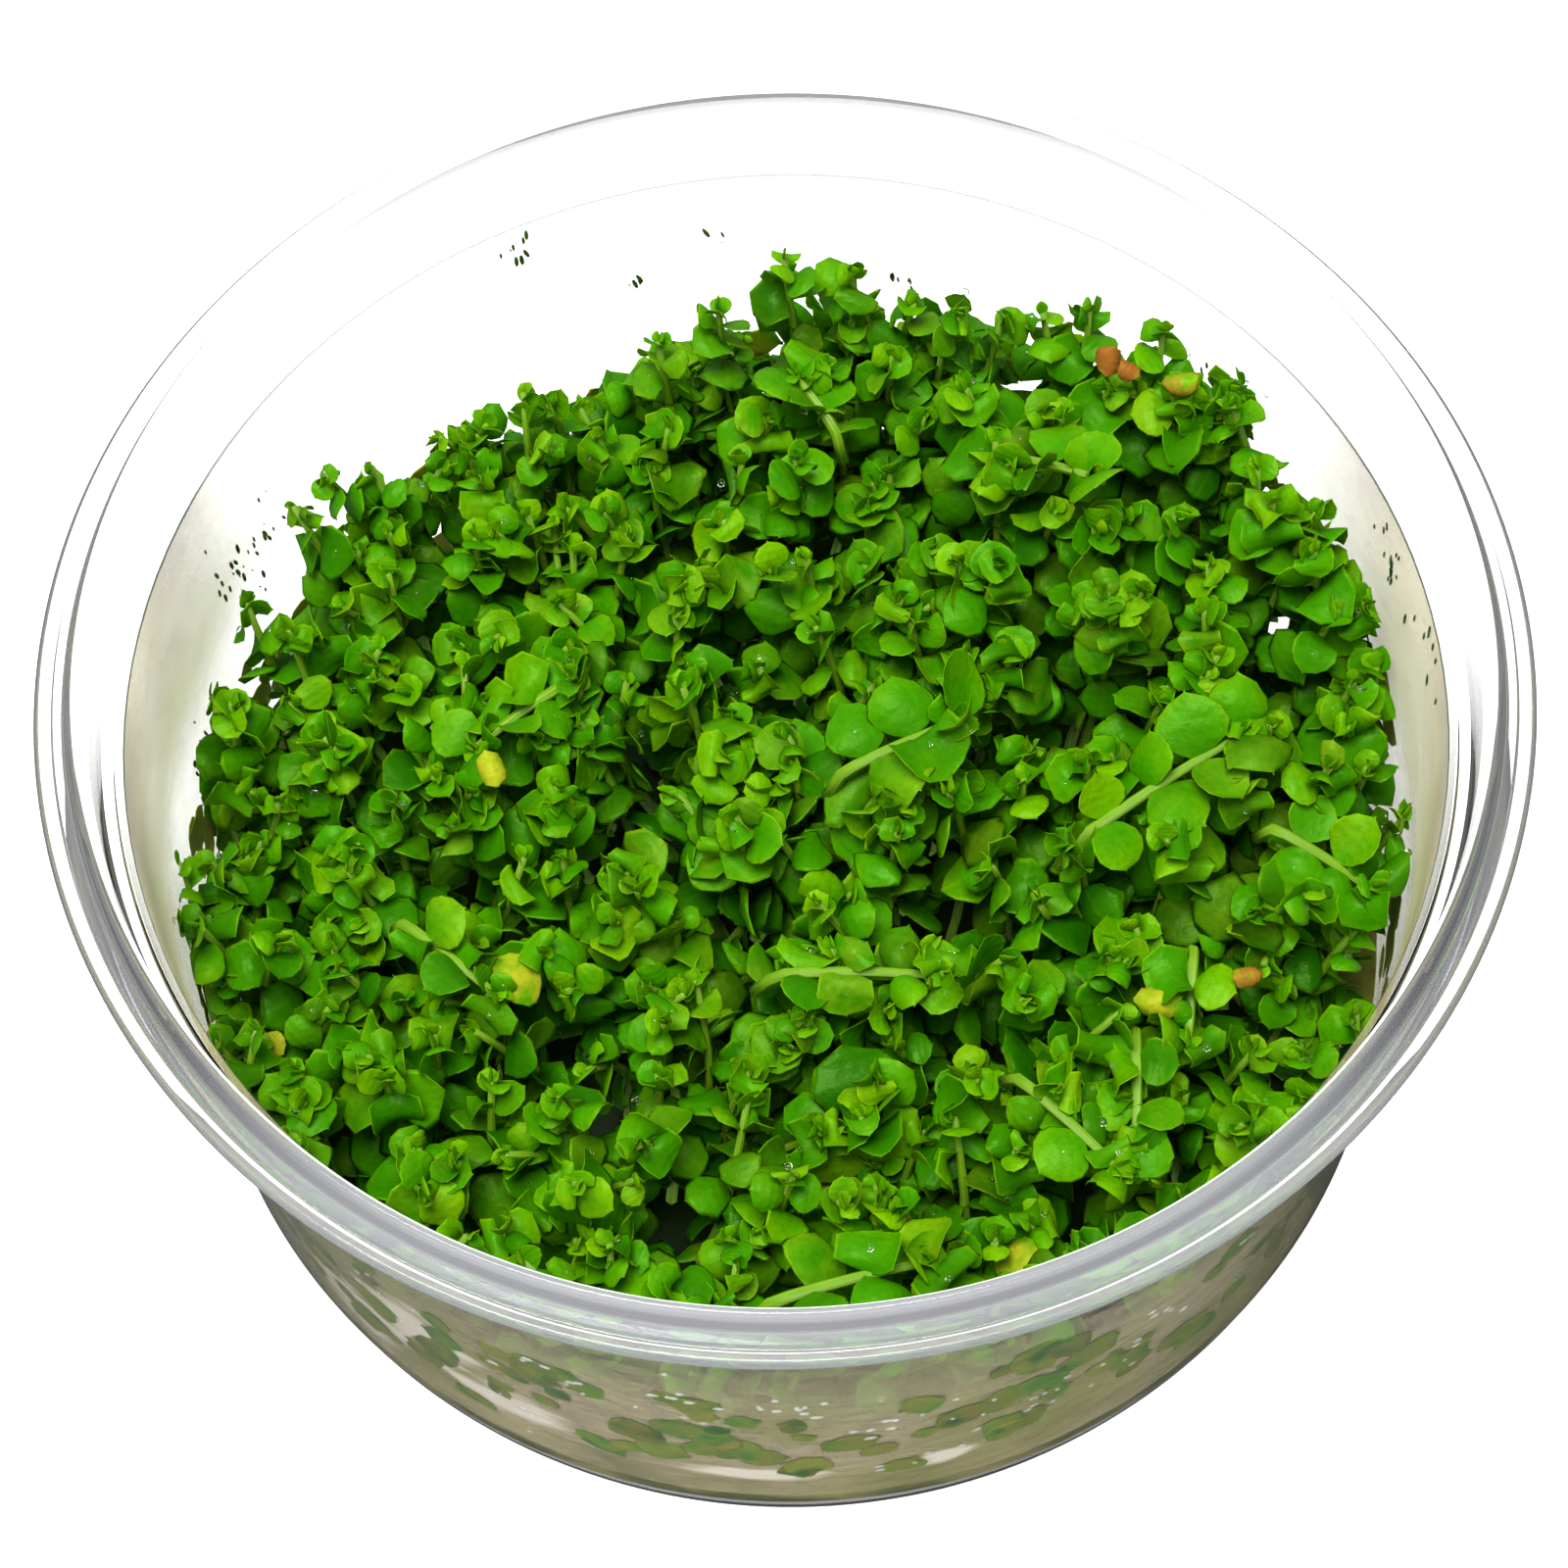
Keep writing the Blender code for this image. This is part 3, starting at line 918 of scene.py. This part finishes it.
# %% Sprigs
SPRIGS = [
    ((1, 40.5), 40.5, 0.85, (0.3, 1.5)),
    ((6, 40.5), 38.2, 1.0, (0.8, 1.5)),
    ((-3, 38.5), 37.0, 0.85, (-1.0, 1.2)),
    ((-8, 38), 34.0, 0.8, (-1.0, 1.0)),
    ((11, 39), 36.2, 0.9, (0.5, 1.0)),
    ((14.5, 37.5), 36.6, 0.9, (0.5, 1.0)),
    ((18, 37), 37.2, 0.9, (0.5, 1.0)),
    ((21.5, 36.5), 37.8, 0.9, (0.0, 1.0)),
    ((25, 35), 39.2, 0.9, (0.0, 1.5)),
    ((30, 32), 40.4, 0.9, (0.5, 1.5)),
    ((35, 28), 38.6, 0.9, (1.0, 1.0)),
    ((-37, 24), 32.0, 0.8, (-1.0, 2.0)),
    ((-35, 27), 32.2, 0.8, (-0.5, 1.5)),
    ((-31, 29), 31.0, 0.8, (-1.0, 1.0)),
    ((-20, 36), 30.6, 0.8, (0.0, 1.0)),
    ((41, -2), 33.5, 0.9, (2.0, 0.0)),
    ((42, 10), 36.5, 0.9, (2.0, 0.5)),
]

for (x, y), top, size, lean in SPRIGS:
    grow_stem(x, y, top, size, lean, 7)

# %% Withered leaves
WITHERED = [((26, 31), 39.0, 2.6), ((30, 29), 40.6, 3.0), ((28.5, 30.5), 39.6, 2.0), ((34, -17), 31.5, 2.4)]
YELLOWED = [((24.6, -18.1), 30.0, 3.8), ((-22, 2), 29.4, 3.2)]

for group, tint in ((WITHERED, (0.9, 0.6, 1.0)), (YELLOWED, (0.9, 0.8, 0.0))):
    for (x, y), height, length in group:
        base = np.array((x, y, height - 1.0))
        ahead = np.array((*draw.normal(0, 1, 2), 0.2))
        form = rolled_forms[draw.integers(len(rolled_forms))]
        put_leaf(nearest(x, y), form, base, ahead, np.array((0.0, -0.3, 1.0)), length, tint)

# %% [markdown]
# ## Leaves pressed on the wall
#
# Behind the clear wall, leaves lie flat against the plastic. They face outward, at every height
# between the gel and the mat's top, and belong to the plantlet next to them.

# %% Leaves against the wall
WALL_LEAVES = 330
FLAT_GAP, FLAT_DEPTH = 0.26, 0.3
LEVEL_SHARE = 0.6


def wall_leaf():
    """A leaf flat on the wall, most often with its length level."""
    angle = draw.uniform(0, 2 * math.pi)
    outward = np.array((math.cos(angle), math.sin(angle), 0.0))
    around = np.array((-outward[1], outward[0], 0.0))
    top = mat_height(*(outward[:2] * FIELD_RADIUS)) + (2.5 if outward[1] < -0.6 else -7)
    height = gel_top + 1.0 + (top - gel_top - 1.0) * draw.random()
    base = outward * (wall_radius(height) - 0.3)
    base[2] = height
    slant = draw.normal(0, 0.5) + math.pi * draw.integers(2)
    if draw.random() > LEVEL_SHARE:
        slant = draw.uniform(0, 2 * math.pi)
    ahead = unit(math.cos(slant) * around + math.sin(slant) * np.array((0.0, 0.0, 1.0)))
    aside = np.cross(outward, ahead)
    points, faces, places = flat_forms[draw.integers(len(flat_forms))]
    length = draw.uniform(2.2, 4.8)
    flat = points * length * np.array((1.0, 1.0, 0.25))
    placed = base + flat @ np.stack([ahead, aside, outward])
    tint = (draw.uniform(0.1, 0.7), draw.uniform(0.25, 0.55), draw.uniform(0.1, 0.3))
    pile = nearest(base[0], base[1])
    pile.add(pressed(placed, FLAT_GAP, FLAT_DEPTH), faces, places, tint, 0)
    pile.leaves += 1


for _ in range(WALL_LEAVES):
    wall_leaf()

# %% Turn the piles into meshes
for name, pile in piles.items():
    tuft = pile.mesh(name + "_leaves")
    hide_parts(name)
triangles = sum(2 * len(pile.faces) for pile in piles.values())
print("leaves:", sum(pile.leaves for pile in piles.values()), "triangles:", triangles)

# %% [markdown]
# ## Dew
#
# Small drops of water sit on the upper leaves. Each is a flattened dome of clear water, and all
# of them are one joined mesh.

# %% Drops of water
WATER_IOR = 1.33
DOME_ROWS, DOME_SIDES = 3, 8


def water_finish(graph):
    where = graph.node("TexCoord", output="Object")
    ripples = noise(graph, where, 1200.0, 1.0)
    bump = graph.node("Bump", None, {"Strength": 0.1, "Distance": 0.0001, "Height": ripples})
    values = {
        "Base Color": (1.0, 1.0, 1.0, 1.0),
        "Roughness": 0.0,
        "IOR": WATER_IOR,
        "Transmission Weight": 1.0,
        "Normal": bump,
    }
    return lets_lamps_through(graph, graph.node("BsdfPrincipled", None, values))


clear_water = new_material("clear_water", water_finish)


def bead(centre, upward, along, length, width, height):
    """A closed flattened bead, longer along one direction."""
    top = unit(upward)
    ahead = unit(along - top * (along @ top))
    aside = np.cross(top, ahead)
    points = [centre - top * height]
    for row in range(1, 2 * DOME_ROWS):
        tilt = math.pi * row / (2 * DOME_ROWS)
        for side in range(DOME_SIDES):
            angle = side * 2 * math.pi / DOME_SIDES
            flat = ahead * math.cos(angle) * length + aside * math.sin(angle) * width
            points.append(centre + flat * math.sin(tilt) - top * height * math.cos(tilt))
    points.append(centre + top * height)
    faces = []
    rows = 2 * DOME_ROWS - 1
    for side in range(DOME_SIDES):
        after = (side + 1) % DOME_SIDES
        faces.append((0, 1 + after, 1 + side))
        for row in range(rows - 1):
            low, high = 1 + row * DOME_SIDES, 1 + (row + 1) * DOME_SIDES
            faces.append((low + side, low + after, high + after, high + side))
        last = 1 + (rows - 1) * DOME_SIDES
        faces.append((last + side, last + after, len(points) - 1))
    return points, faces


def joined(name, bodies, material):
    """Several closed bodies as one piece."""
    points, faces = [], []
    for body_points, body_faces in bodies:
        start = len(points)
        points += [tuple(point * MM) for point in body_points]
        faces += [tuple(start + corner for corner in face) for face in body_faces]
    piece = add_piece(name, points, faces, [material])
    return piece


dew = []
for centre, upward in dew_spots:
    size = draw.uniform(0.12, 0.4)
    dew.append(bead(centre + upward * 0.25, upward, draw.normal(0, 1, 3), size * 1.2, size, size * 0.6))
joined("dew", dew, clear_water)
print("dew drops:", len(dew))

# %% [markdown]
# ## Mist and painted shadow on the wall
#
# Moisture clouds the wall under the ledge. The film's tone is partly that moisture and partly
# painted shadow, the cup's shade on the ground seen through the wall: cream higher up, olive lower
# down, and almost nothing at the back, where the wall is clean. It is a thin film just inside the
# plastic. Its Alpha says how thick the film is, from soft patches and fine level streaks. A dark
# line along its top is painted in for the dark edge that the ledge bends into view.

# %% The film of mist and painted shadow
# The film's colours are partly moisture and partly painted shadow seen through the wall; the edge colour paints the
# dark line under the ledge.
MIST_AND_SHADOW_CREAM = srgb(186, 173, 120)
MIST_AND_SHADOW_LILAC = srgb(158, 147, 124)
MIST_AND_SHADOW_OLIVE = srgb(226, 222, 96)
FRONT_CREAM = srgb(226, 210, 165)
FRONT_TAN = srgb(196, 184, 140)
FRONT_OLIVE = srgb(172, 172, 96)
PATCH_CREAM = srgb(255, 246, 222)
CREAM_PATCHES = [(-4, 11.5, 5.5, 1.9), (-22, 14, 5, 4), (-28, 19, 4, 6), (-33, 13, 4, 6), (9.5, 12, 2.6, 1.6)]
PAINTED_LEDGE_LINE = srgb(62, 74, 50)
FILM_THICKNESS = 0.05
FILM_GAP = 0.46
MIST_GLOSS = 0.1
EDGE_COVER = 0.35
FILM_LOW, FILM_HIGH = foot_height + 0.3, ledge_height - 0.25


def patch_cover(graph, x, z, ragged):
    """1 inside the named patches, fading out over a ragged edge."""
    cover = 0.0
    for middle_x, middle_z, wide, tall in CREAM_PATCHES:
        across = (x - middle_x * MM) / (wide * MM)
        upright = (z - middle_z * MM) / (tall * MM)
        distance = graph.node("Math", {"operation": "SQRT"}, {0: across * across + upright * upright})
        spot = 1 - step(graph, distance + (ragged - 0.5) * 1.6, 0.5, 1.1)
        cover = graph.node("Math", {"operation": "MAXIMUM"}, {0: spot, 1: cover})
    return cover


def mist_and_shadow_finish(graph):
    where = graph.node("TexCoord", output="Object")
    x, y, z = (graph.node("SeparateXYZ", None, {0: where}, axis) for axis in "XYZ")
    stretched = where * (1.0, 1.0, 3.5)
    clouds = noise(graph, where, 45.0, 3.0)
    streaks = noise(graph, stretched, 320.0, 4.0)
    ragged = noise(graph, stretched, 130.0, 3.0)
    lower = 1 - step(graph, z, 14 * MM, 38 * MM)
    side_lower = 1 - step(graph, z, 30 * MM, 44 * MM)
    upper = step(graph, z, 24 * MM, 38 * MM)
    front = 1 - step(graph, y, 8 * MM, 36 * MM)
    flank = step(graph, y, -38 * MM, -16 * MM)
    # Painted shadow with the moisture's own tone: cream and lilac higher up, olive lower down on the flanks and
    # front.
    tone = step(graph, clouds, 0.4, 0.65)
    side_colour = mixed(graph, side_lower * 0.8, mixed(graph, tone, MIST_AND_SHADOW_CREAM, MIST_AND_SHADOW_LILAC), MIST_AND_SHADOW_OLIVE)
    front_colour = mixed(graph, tone, FRONT_CREAM, mixed(graph, lower, FRONT_TAN, FRONT_OLIVE))
    cover = patch_cover(graph, x, z, ragged)
    front_colour = mixed(graph, cover, front_colour, PATCH_CREAM)
    colour = mixed(graph, flank, front_colour, side_colour)
    texture = (clouds - 0.5) * 0.7 + (streaks - 0.5) * (0.5 - 0.4 * flank)
    side_high = step(graph, z, 24 * MM, 32 * MM)
    base = 0.4 + flank * (0.12 * side_high - 0.16 * (1 - side_high)) - 0.28 * upper * (1 - flank)
    amount = (base + texture + cover * 0.4) * front
    # A painted dark line along the film's top stands in for the dark edge that the ledge bends into view.
    edge = step(graph, z, (FILM_HIGH - 0.4) * MM, (FILM_HIGH - 0.15) * MM)
    colour = mixed(graph, edge, colour, PAINTED_LEDGE_LINE)
    alpha = graph.node("Math", {"operation": "MINIMUM", "use_clamp": True}, {0: amount + edge * EDGE_COVER, 1: 0.8})
    bump = graph.node("Bump", None, {"Strength": 0.3, "Distance": 0.0002, "Height": streaks})
    values = {
        "Base Color": colour,
        "Roughness": 0.5,
        "Specular IOR Level": MIST_GLOSS,
        "Alpha": alpha,
        "Normal": bump,
    }
    return graph.node("BsdfPrincipled", None, values)


def film_corners():
    """The film's outline: up the wall side, then down the inner side."""
    heights = np.linspace(FILM_LOW, FILM_HIGH, 6)
    outer = [(wall_radius(h) - FILM_GAP, h) for h in heights]
    inner = [(wall_radius(h) - FILM_GAP - FILM_THICKNESS, h) for h in heights[::-1]]
    return outer + inner


wall_mist_and_shadow = new_material("wall_mist_and_shadow", mist_and_shadow_finish)
mist = turned("wall_mist_and_shadow", film_corners(), CUP_SIDES // 2, wall_mist_and_shadow)

# %% [markdown]
# ## Dark specks and beads on the wall
#
# Small dark green specks sit on the wall above the mat, in a few clusters at the left, right and
# back. They are partly scraps of leaf and partly painted refraction: drops on the wall bend the
# green of the leaves into view, and that is painted as dark green flecks. On the front wall, water
# has gathered in level beads, and their white scattered share is a painted glint. Both use the
# bead shape, set flat against the plastic. A cluster is an angle round the cup, a height, how far
# it spreads in millimetres, and how many it has.

# %% Specks and beads
SPECK_CLUSTERS = [
    (153, 31, 5.0, 30),
    (166, 22, 4.0, 18),
    (14, 40, 3.5, 14),
    (4, 41, 2.5, 8),
    (43, 37, 1.6, 7),
    (77, 32, 1.8, 7),
    (114, 41, 2.6, 8),
    (103, 33, 1.2, 4),
    (95, 37, 1.0, 3),
]
BEAD_CLUSTERS = [
    (-101, 27.5, 5.0, 9),
    (-92, 28.5, 5.0, 10),
    (-83, 22, 5.0, 9),
    (-74, 20, 5.0, 8),
    (-112, 26, 5.0, 8),
    (-117, 14, 5.0, 6),
    (-79, 13, 4.0, 8),
    (-66, 19, 5.0, 8),
    (-60, 22, 6.0, 6),
    (-129, 24, 7.0, 8),
    (-50, 25, 7.0, 6),
    (-175, 36, 8.0, 4),
]
SPECK_GAP = FILM_GAP + 0.12
SCRAP_AND_REFRACTION_DARK = srgb(34, 52, 16)
SCRAP_AND_REFRACTION_GREEN = srgb(74, 104, 30)


def scrap_and_refraction_finish(graph):
    where = graph.node("TexCoord", output="Object")
    patches = noise(graph, where, 900.0, 2.0)
    # Painted dark green: partly the scraps' own colour, partly the leaves' green that drops on the wall bend into
    # view.
    colour = mixed(graph, step(graph, patches, 0.4, 0.6), SCRAP_AND_REFRACTION_DARK, SCRAP_AND_REFRACTION_GREEN)
    values = {"Base Color": colour, "Roughness": 0.3 + patches * 0.1}
    return graph.node("BsdfPrincipled", None, values)


def painted_glint_water_finish(graph):
    """Beads in front of the mist, whose white scattered share is a painted glint."""
    where = graph.node("TexCoord", output="Object")
    roughness = 0.1 + noise(graph, where, 900.0, 1.0) * 0.2
    values = {
        "Base Color": (1.0, 1.0, 1.0, 1.0),
        "Roughness": roughness,
        "IOR": WATER_IOR,
        "Transmission Weight": 0.75,
    }
    return lets_lamps_through(graph, graph.node("BsdfPrincipled", None, values))


def on_wall(angle, height, level, long, wide, thick, gap=0.02):
    """A bead flat on the wall. level is 1 when its length runs round the cup, 0 when upright."""
    outward = np.array((math.cos(angle), math.sin(angle), 0.0))
    around = np.array((-outward[1], outward[0], 0.0))
    centre = outward * (wall_radius(height) - thick - gap)
    centre[2] = height
    along = around * level + np.array((0.0, 0.0, 1.0 - level))
    return bead(centre, outward, along, long, wide, thick)


speck_bodies = []
for degrees, height, spread, count in SPECK_CLUSTERS:
    for _ in range(count):
        angle = math.radians(degrees) + draw.normal(0, spread / 2) / inner_top_radius
        spot_height = min(height + draw.normal(0, spread / 2), ledge_height - 1.5)
        long = draw.uniform(0.16, 0.75)
        level = draw.uniform(0, 0.3)
        speck_bodies.append(on_wall(angle, spot_height, level, long, long * 0.28, 0.08, SPECK_GAP))
wall_scraps_and_refraction = new_material("wall_scraps_and_refraction", scrap_and_refraction_finish)
joined("leaf_scraps_and_refraction", speck_bodies, wall_scraps_and_refraction)

bead_bodies = []
for degrees, height, spread, count in BEAD_CLUSTERS:
    for _ in range(count):
        angle = math.radians(degrees) + draw.normal(0, spread / 2) / inner_top_radius
        spot_height = height + draw.normal(0, spread / 3)
        long = draw.uniform(0.18, 0.55)
        wide = draw.uniform(0.05, 0.11)
        bead_bodies.append(on_wall(angle, spot_height, draw.uniform(0.85, 1.0), long, wide, 0.12))
joined("wall_beads", bead_bodies, new_material("bright_water", painted_glint_water_finish))
print("scraps:", len(speck_bodies), "beads:", len(bead_bodies))

# %% [markdown]
# ## Floor, light and camera
#
# The photo has a pure white ground, soft light from above and no visible shadow. A wide pale
# floor, one broad lamp over the front left and a bright room do that. The room is darker near
# the horizon, because a clear rim shows only where it bends something dark into view.

# %% Floor and room
FLOOR_RADIUS = 1.6
FLOOR_SEEN = srgb(250, 250, 250)
FLOOR_MIRRORED = srgb(84, 84, 84)
FLOOR_LIFT = 0.5


def mirror_ray(graph):
    """1 for a ray that a shiny surface has reflected, inside or out, and 0 for any other."""
    turns = graph.node("LightPath", output="Glossy Depth")
    return graph.node("Math", {"operation": "MINIMUM"}, {0: turns, 1: 1.0})


def floor_finish(graph):
    """White, but dark in reflections, as under a polarising filter, so the wall stays clear."""
    mirrored = mirror_ray(graph)
    colour = mixed(graph, mirrored, FLOOR_SEEN, FLOOR_MIRRORED)
    lift = mixed(graph, mirrored, FLOOR_SEEN, srgb(0, 0, 0))
    values = {"Base Color": colour, "Roughness": 0.9, "Emission Color": lift, "Emission Strength": FLOOR_LIFT}
    return graph.node("BsdfPrincipled", None, values)


floor_white = new_material("floor_white", floor_finish)


def make_floor():
    angles = np.arange(64) * 2 * math.pi / 64
    points = [(FLOOR_RADIUS * math.cos(a), FLOOR_RADIUS * math.sin(a), -0.0002) for a in angles]
    mesh = bpy.data.meshes.new("floor")
    mesh.from_pydata(points, [], [tuple(range(64))])
    mesh.materials.append(floor_white)
    floor = bpy.data.objects.new("floor", mesh)
    bpy.context.scene.collection.objects.link(floor)


ROOM_BRIGHT = 0.6
ROOM_HORIZON = 0.4
ROOM_MIRRORED = 0.45


def make_room():
    world = bpy.data.worlds.new("room")
    bpy.context.scene.world = world
    world.use_nodes = True
    world.node_tree.nodes.clear()
    graph = Shade(world.node_tree)
    heading = graph.node("TexCoord", output="Generated")
    height = graph.node("SeparateXYZ", None, {0: heading}, "Z")
    level = step(graph, height, 0.02, 0.55)
    seen = graph.node("LightPath", output="Is Camera Ray")
    strength = ROOM_HORIZON + (ROOM_BRIGHT - ROOM_HORIZON) * level
    shown = strength * (1 - mirror_ray(graph) * (1 - ROOM_MIRRORED)) * (1 - seen) + seen * 1.2
    light = graph.node("Background", None, {"Color": (1.0, 1.0, 1.0, 1.0), "Strength": shown})
    graph.node("OutputWorld", None, {"Surface": light})


make_floor()
make_room()

# %% Lamp
LAMP_PLACE = Vector((-0.10, -0.06, 0.8))
LAMP_SIZE = 0.4
LAMP_POWER = 8.6


def add_lamp(name, place, size, power):
    data = bpy.data.lights.new(name, "AREA")
    data.shape = "SQUARE"
    data.size = size
    data.energy = power
    lamp = bpy.data.objects.new(name, data)
    bpy.context.scene.collection.objects.link(lamp)
    lamp.location = place
    lamp.rotation_euler = (Vector((0, 0, 0.02)) - place).to_track_quat("-Z", "Y").to_euler()


add_lamp("softbox", LAMP_PLACE, LAMP_SIZE, LAMP_POWER)

# %% Camera
CAMERA_PLACE = Vector((-0.25, -121.34, 252.10)) * MM
CAMERA_DOWN = 1.06915
CAMERA_ROLL = 0.03816
CAMERA_LENS = 77.14
SENSOR = 36.0


def add_camera():
    data = bpy.data.cameras.new("camera")
    data.lens = CAMERA_LENS
    data.sensor_width = SENSOR
    data.clip_start = 0.01
    data.clip_end = 10.0
    camera = bpy.data.objects.new("camera", data)
    bpy.context.scene.collection.objects.link(camera)
    ahead = Vector((0, math.cos(CAMERA_DOWN), -math.sin(CAMERA_DOWN)))
    level_up = Vector((0, math.sin(CAMERA_DOWN), math.cos(CAMERA_DOWN)))
    sideways = Vector((1, 0, 0))
    right = sideways * math.cos(CAMERA_ROLL) - level_up * math.sin(CAMERA_ROLL)
    up = sideways * math.sin(CAMERA_ROLL) + level_up * math.cos(CAMERA_ROLL)
    turn = bpy.data.objects[camera.name].matrix_world
    turn.col[0][:3] = right
    turn.col[1][:3] = up
    turn.col[2][:3] = -ahead
    turn.col[3][:3] = CAMERA_PLACE
    camera.matrix_world = turn
    bpy.context.scene.camera = camera


add_camera()

# %% [markdown]
# ## How light is followed and shown
#
# Clear walls in front of clear walls need more passes than Blender's default, and light that is
# bent by glass onto soft surfaces is left out, because the clear finishes already let it pass.
# The Standard view keeps the greens as strong as the photo has them.

# %% Render settings of the scene
scene = bpy.context.scene
scene.cycles.max_bounces = 10
scene.cycles.diffuse_bounces = 2
scene.cycles.transmission_bounces = 10
scene.cycles.transparent_max_bounces = 12
scene.cycles.adaptive_threshold = 0.04
scene.cycles.caustics_refractive = False
scene.cycles.caustics_reflective = False
scene.view_settings.view_transform = "Standard"
